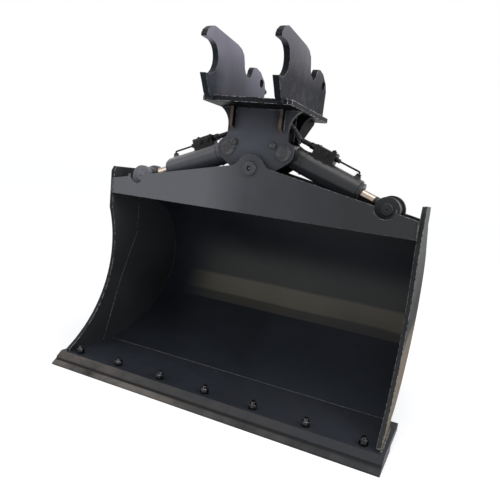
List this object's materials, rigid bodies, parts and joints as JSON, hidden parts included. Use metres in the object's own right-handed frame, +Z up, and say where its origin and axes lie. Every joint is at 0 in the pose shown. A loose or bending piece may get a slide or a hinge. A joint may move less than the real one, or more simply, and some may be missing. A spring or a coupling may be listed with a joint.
{
  "type": "tilt bucket",
  "caption": "Wide grading bucket that tilts sideways on a central pivot, with cylinders, a bolt-on edge and hooks for a quick hitch.",
  "frame": {"origin": "centre of the hook jaws, on their common axis, midway between the hooks", "axes": "+X across the bucket along the jaw axis, +Y from the mouth to the back, +Z up"},
  "size_m": [1.5, 0.864, 1.512],
  "materials": {
    "charcoal_paint": "satin charcoal paint",
    "edge_steel": "thin dark paint over rolled wear steel",
    "hook_paint": "lighter grey satin paint",
    "fastener_steel": "dull plated steel",
    "pin_steel": "turned and hardened steel",
    "bush_bronze": "turned bronze",
    "cylinder_paint": "satin black paint",
    "fitting_steel": "zinc plated steel",
    "rod_chrome": "ground hard chrome",
    "piston_steel": "turned steel",
    "black_rubber": "matt black rubber"
  },
  "bodies": {
    "tilt_body": {"tilt_front_plate": "charcoal_paint", "tilt_rear_plate": "charcoal_paint", "pivot_hub": "charcoal_paint", "pivot_bushes": "bush_bronze", "tilt_webs": "charcoal_paint", "gussets": "charcoal_paint", "hitch_plate": "charcoal_paint", "hook_left": "hook_paint", "hook_right": "hook_paint", "barrel_pin_left": "pin_steel", "barrel_pin_right": "pin_steel", "barrel_pin_bolts": "fastener_steel", "hook_stop_bolt": "fastener_steel", "hose_elbows": "fitting_steel", "hose_left": "black_rubber", "hose_right": "black_rubber", "spring_guard_left": "fitting_steel", "spring_guard_right": "fitting_steel"},
    "bucket": {"base_edge": "charcoal_paint", "bolt_on_edge": "edge_steel", "edge_bolts": "fastener_steel", "edge_nuts": "fastener_steel", "shell_lower": "charcoal_paint", "shell_upper": "charcoal_paint", "side_plate_left": "charcoal_paint", "side_plate_right": "charcoal_paint", "side_cutter_left": "charcoal_paint", "side_cutter_right": "charcoal_paint", "heel_wear_bars": "charcoal_paint", "beam_front_plate": "charcoal_paint", "beam_rear_plate": "charcoal_paint", "beam_floor": "charcoal_paint", "rod_lugs_front": "charcoal_paint", "rod_lugs_rear": "charcoal_paint", "rod_pin_ends": "pin_steel", "pivot_pin": "charcoal_paint", "pivot_keeper": "charcoal_paint", "pivot_keeper_bolt": "fastener_steel", "pivot_nipple": "fastener_steel"},
    "barrel_left_body": {"barrel_left": "cylinder_paint", "gland_left": "cylinder_paint", "rod_wiper_left": "black_rubber", "valve_block_left": "cylinder_paint", "valve_fittings_left": "fitting_steel", "oil_tube_left": "fitting_steel"},
    "rod_left_body": {"rod_left": "rod_chrome", "piston_left": "piston_steel", "eye_core_left": "pin_steel"},
    "barrel_right_body": {"barrel_right": "cylinder_paint", "gland_right": "cylinder_paint", "rod_wiper_right": "black_rubber", "valve_block_right": "cylinder_paint", "valve_fittings_right": "fitting_steel", "oil_tube_right": "fitting_steel"},
    "rod_right_body": {"rod_right": "rod_chrome", "piston_right": "piston_steel", "eye_core_right": "pin_steel"}
  },
  "joints": [
    {"name": "tilt", "type": "hinge", "parent": "tilt_body", "child": "bucket", "pos_m": [0, 0.288, -0.405], "axis": [0, 1, 0], "range_deg": [-30, 30]},
    {"name": "left_barrel_swing", "type": "hinge", "parent": "tilt_body", "child": "barrel_left_body", "pos_m": [-0.13, 0.288, -0.328], "axis": [0, 1, 0], "range_deg": [-36, 36], "deforming": ["hose_left", "spring_guard_left"]},
    {"name": "right_barrel_swing", "type": "hinge", "parent": "tilt_body", "child": "barrel_right_body", "pos_m": [0.13, 0.288, -0.328], "axis": [0, 1, 0], "range_deg": [-36, 36], "deforming": ["hose_right", "spring_guard_right"]},
    {"name": "left_rod_slide", "type": "slide", "parent": "barrel_left_body", "child": "rod_left_body", "axis": [-0.9343, 0, -0.3566], "range_m": [-0.058, 0.058]},
    {"name": "right_rod_slide", "type": "slide", "parent": "barrel_right_body", "child": "rod_right_body", "axis": [0.9343, 0, -0.3566], "range_m": [-0.058, 0.058]}
  ],
  "couplings": [
    {"joint": "left_barrel_swing", "follows": "tilt", "ratio": 1.192},
    {"joint": "right_barrel_swing", "follows": "tilt", "ratio": 1.192},
    {"joint": "left_rod_slide", "follows": "tilt", "m_per_rad": -0.1095},
    {"joint": "right_rod_slide", "follows": "tilt", "m_per_rad": 0.1095}
  ]
}
